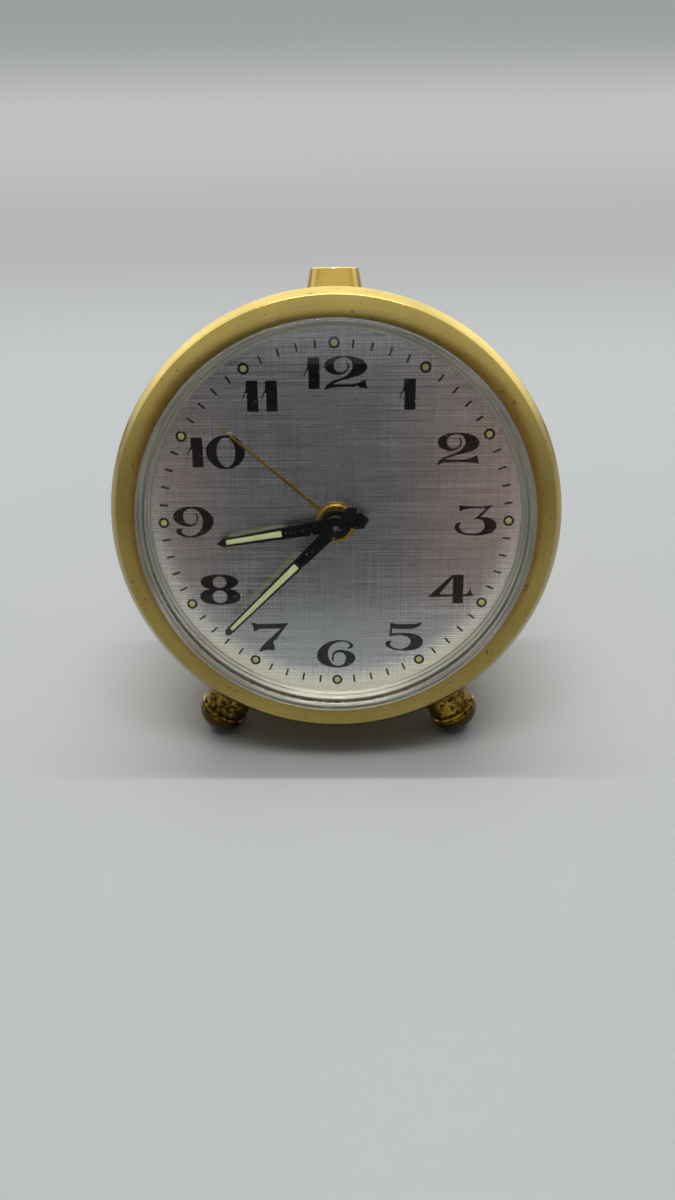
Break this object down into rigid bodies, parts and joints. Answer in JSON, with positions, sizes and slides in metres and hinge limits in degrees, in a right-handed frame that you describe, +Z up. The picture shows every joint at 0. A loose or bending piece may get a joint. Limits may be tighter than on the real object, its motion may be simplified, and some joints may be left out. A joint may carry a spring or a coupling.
{
  "type": "wind-up alarm clock",
  "caption": "Round table alarm clock: turned brass drum case leaning on two splayed feet, silvered dial with luminous hands, alarm hand, top button and wind-up movement.",
  "frame": {"origin": "on the table, under the middle of the clock's bounding box", "axes": "+Z up, -Y the way the dial faces, X across the dial; the dial leans back 14 degrees"},
  "size_m": [0.0696, 0.0528, 0.0749],
  "materials": {
    "polished_brass": "turned, lightly aged",
    "aged_brass": "tarnished, satin",
    "plate_brass": "satin",
    "steel": "turned, satin",
    "blued_spring_steel": "blued",
    "silvered_metal": "fine brushed",
    "clear_crystal": "clear, polished",
    "black_hands": "satin black",
    "luminous_paint": "matt"
  },
  "bodies": {
    "case": {"case_drum": "polished_brass", "bezel": "polished_brass", "crystal": "clear_crystal", "reflector_ring": "silvered_metal", "dial": "silvered_metal", "hour_dots": "luminous_paint", "back_cover": "plate_brass", "cover_screws": "steel", "left_foot": "aged_brass", "right_foot": "aged_brass", "foot_nuts": "steel", "front_plate": "plate_brass", "rear_plate": "plate_brass", "pillars": "plate_brass", "cover_posts": "steel", "release_spring": "blued_spring_steel", "click_screws": "steel"},
    "minute_set": {"minute_arbor": "steel", "minute_hand": "black_hands", "minute_hand_lume": "luminous_paint", "hand_setting_knob": "polished_brass", "clutch_spring": "blued_spring_steel"},
    "minute_wheel_body": {"minute_wheel": "plate_brass"},
    "hour_set": {"hour_wheel": "plate_brass", "hour_hand": "black_hands", "hour_hand_lume": "luminous_paint"},
    "alarm_hand_set": {"alarm_wheel": "plate_brass", "alarm_hand": "plate_brass"},
    "alarm_setting": {"alarm_setting_arbor": "steel", "alarm_setting_knob": "polished_brass"},
    "going_barrel": {"time_barrel": "plate_brass", "time_barrel_cover": "plate_brass", "time_mainspring": "blued_spring_steel"},
    "centre_wheel_body": {"centre_wheel": "plate_brass"},
    "third_wheel_body": {"third_wheel": "plate_brass", "third_arbor": "steel"},
    "fourth_wheel_body": {"fourth_wheel": "plate_brass", "fourth_arbor": "steel"},
    "escape_wheel_body": {"escape_wheel": "plate_brass", "escape_arbor": "steel"},
    "pallet_lever_body": {"pallet_lever": "steel"},
    "balance": {"balance_wheel": "plate_brass", "balance_staff": "steel", "hairspring": "blued_spring_steel"},
    "time_winding": {"time_barrel_arbor": "steel", "time_ratchet_wheel": "steel", "time_key": "polished_brass"},
    "time_click_body": {"time_click": "steel"},
    "sounding_barrel": {"alarm_barrel": "plate_brass", "alarm_barrel_cover": "plate_brass", "alarm_mainspring": "blued_spring_steel"},
    "alarm_winding": {"alarm_barrel_arbor": "steel", "alarm_ratchet_wheel": "steel", "alarm_key": "polished_brass"},
    "alarm_click_body": {"alarm_click": "steel"},
    "alarm_escape_body": {"alarm_escape_wheel": "plate_brass"},
    "hammer_body": {"hammer": "steel"},
    "button": {"alarm_button": "polished_brass"},
    "stop_lever_body": {"stop_lever": "steel"},
    "regulator_body": {"regulator": "steel"}
  },
  "joints": [
    {"name": "minute_hand_turn", "type": "hinge", "parent": "case", "child": "minute_set", "pos_m": [0, -0.01401, 0.04025], "axis": [0, -0.9703, 0.2419], "continuous": true},
    {"name": "minute_wheel_turn", "type": "hinge", "parent": "case", "child": "minute_wheel_body", "pos_m": [0.0055, -0.00823, 0.04278], "axis": [0, -0.9703, 0.2419], "continuous": true},
    {"name": "hour_hand_turn", "type": "hinge", "parent": "case", "child": "hour_set", "pos_m": [0, -0.01401, 0.04025], "axis": [0, -0.9703, 0.2419], "continuous": true},
    {"name": "alarm_setting_turn", "type": "hinge", "parent": "case", "child": "alarm_setting", "pos_m": [0, 0.00303, 0.02595], "axis": [0, -0.9703, 0.2419], "continuous": true},
    {"name": "alarm_hand_turn", "type": "hinge", "parent": "case", "child": "alarm_hand_set", "pos_m": [0, -0.01401, 0.04025], "axis": [0, -0.9703, 0.2419], "continuous": true},
    {"name": "fourth_wheel_turn", "type": "hinge", "parent": "case", "child": "fourth_wheel_body", "pos_m": [0.00655, 0.00182, 0.05001], "axis": [0, -0.9703, 0.2419], "continuous": true},
    {"name": "third_wheel_turn", "type": "hinge", "parent": "case", "child": "third_wheel_body", "pos_m": [0, 0.0009, 0.04634], "axis": [0, -0.9703, 0.2419], "continuous": true},
    {"name": "centre_wheel_turn", "type": "hinge", "parent": "case", "child": "centre_wheel_body", "pos_m": [0, -0.0014, 0.0371], "axis": [0, -0.9703, 0.2419], "continuous": true},
    {"name": "time_barrel_turn", "type": "hinge", "parent": "case", "child": "going_barrel", "pos_m": [0.01156, -0.00242, 0.03302], "axis": [0, -0.9703, 0.2419], "continuous": true},
    {"name": "escape_wheel_turn", "type": "hinge", "parent": "case", "child": "escape_wheel_body", "pos_m": [0.00268, 0.00316, 0.05537], "axis": [0, -0.9703, 0.2419], "continuous": true},
    {"name": "pallet_lever_rock", "type": "hinge", "parent": "case", "child": "pallet_lever_body", "pos_m": [-0.00221, 0.00273, 0.05365], "axis": [0, -0.9703, 0.2419], "range_deg": [-5, 5]},
    {"name": "balance_swing", "type": "hinge", "parent": "case", "child": "balance", "pos_m": [-0.01278, 0.0018, 0.04994], "axis": [0, -0.9703, 0.2419], "range_deg": [-220, 220], "stiffness_Nm_per_rad": 0.0000025},
    {"name": "time_winding_turn", "type": "hinge", "parent": "case", "child": "time_winding", "pos_m": [0.01156, 0.00632, 0.03084], "axis": [0, -0.9703, 0.2419], "continuous": true},
    {"name": "time_click_lift", "type": "hinge", "parent": "case", "child": "time_click_body", "pos_m": [0.00636, 0.00736, 0.03501], "axis": [0, -0.9703, 0.2419], "range_deg": [0, 10]},
    {"name": "alarm_barrel_turn", "type": "hinge", "parent": "case", "child": "sounding_barrel", "pos_m": [-0.0125, -0.0025, 0.03269], "axis": [0, -0.9703, 0.2419], "continuous": true},
    {"name": "alarm_escape_turn", "type": "hinge", "parent": "case", "child": "alarm_escape_body", "pos_m": [-0.0065, -0.00501, 0.0226], "axis": [0, -0.9703, 0.2419], "continuous": true},
    {"name": "alarm_winding_turn", "type": "hinge", "parent": "case", "child": "alarm_winding", "pos_m": [-0.0125, 0.00623, 0.03051], "axis": [0, -0.9703, 0.2419], "continuous": true},
    {"name": "alarm_click_lift", "type": "hinge", "parent": "case", "child": "alarm_click_body", "pos_m": [-0.0177, 0.00727, 0.03468], "axis": [0, -0.9703, 0.2419], "range_deg": [0, 10]},
    {"name": "hammer_strike", "type": "hinge", "parent": "case", "child": "hammer_body", "pos_m": [-0.005, 0.0043, 0.01451], "axis": [0, -0.9703, 0.2419], "range_deg": [-6, 6]},
    {"name": "alarm_button_pull", "type": "slide", "parent": "case", "child": "button", "axis": [0, 0.2419, 0.9703], "range_m": [0, 0.0025]},
    {"name": "stop_lever_turn", "type": "hinge", "parent": "case", "child": "stop_lever_body", "pos_m": [-0.02035, 0.01212, 0.04584], "axis": [0, -0.9703, 0.2419], "range_deg": [0, 7.1]},
    {"name": "regulator_turn", "type": "hinge", "parent": "case", "child": "regulator_body", "pos_m": [-0.01278, 0.01053, 0.04777], "axis": [0, -0.9703, 0.2419], "range_deg": [-20, 20]}
  ],
  "couplings": [
    {"joint": "minute_wheel_turn", "follows": "minute_hand_turn", "ratio": -0.33333},
    {"joint": "hour_hand_turn", "follows": "minute_hand_turn", "ratio": 0.083333},
    {"joint": "alarm_hand_turn", "follows": "alarm_setting_turn", "ratio": -0.3},
    {"joint": "third_wheel_turn", "follows": "fourth_wheel_turn", "ratio": -0.125},
    {"joint": "centre_wheel_turn", "follows": "fourth_wheel_turn", "ratio": 0.016667},
    {"joint": "time_barrel_turn", "follows": "fourth_wheel_turn", "ratio": -0.0023148},
    {"joint": "escape_wheel_turn", "follows": "fourth_wheel_turn", "ratio": -8},
    {"joint": "alarm_escape_turn", "follows": "alarm_barrel_turn", "ratio": -9},
    {"joint": "stop_lever_turn", "follows": "alarm_button_pull", "rad_per_m": 49.136}
  ]
}
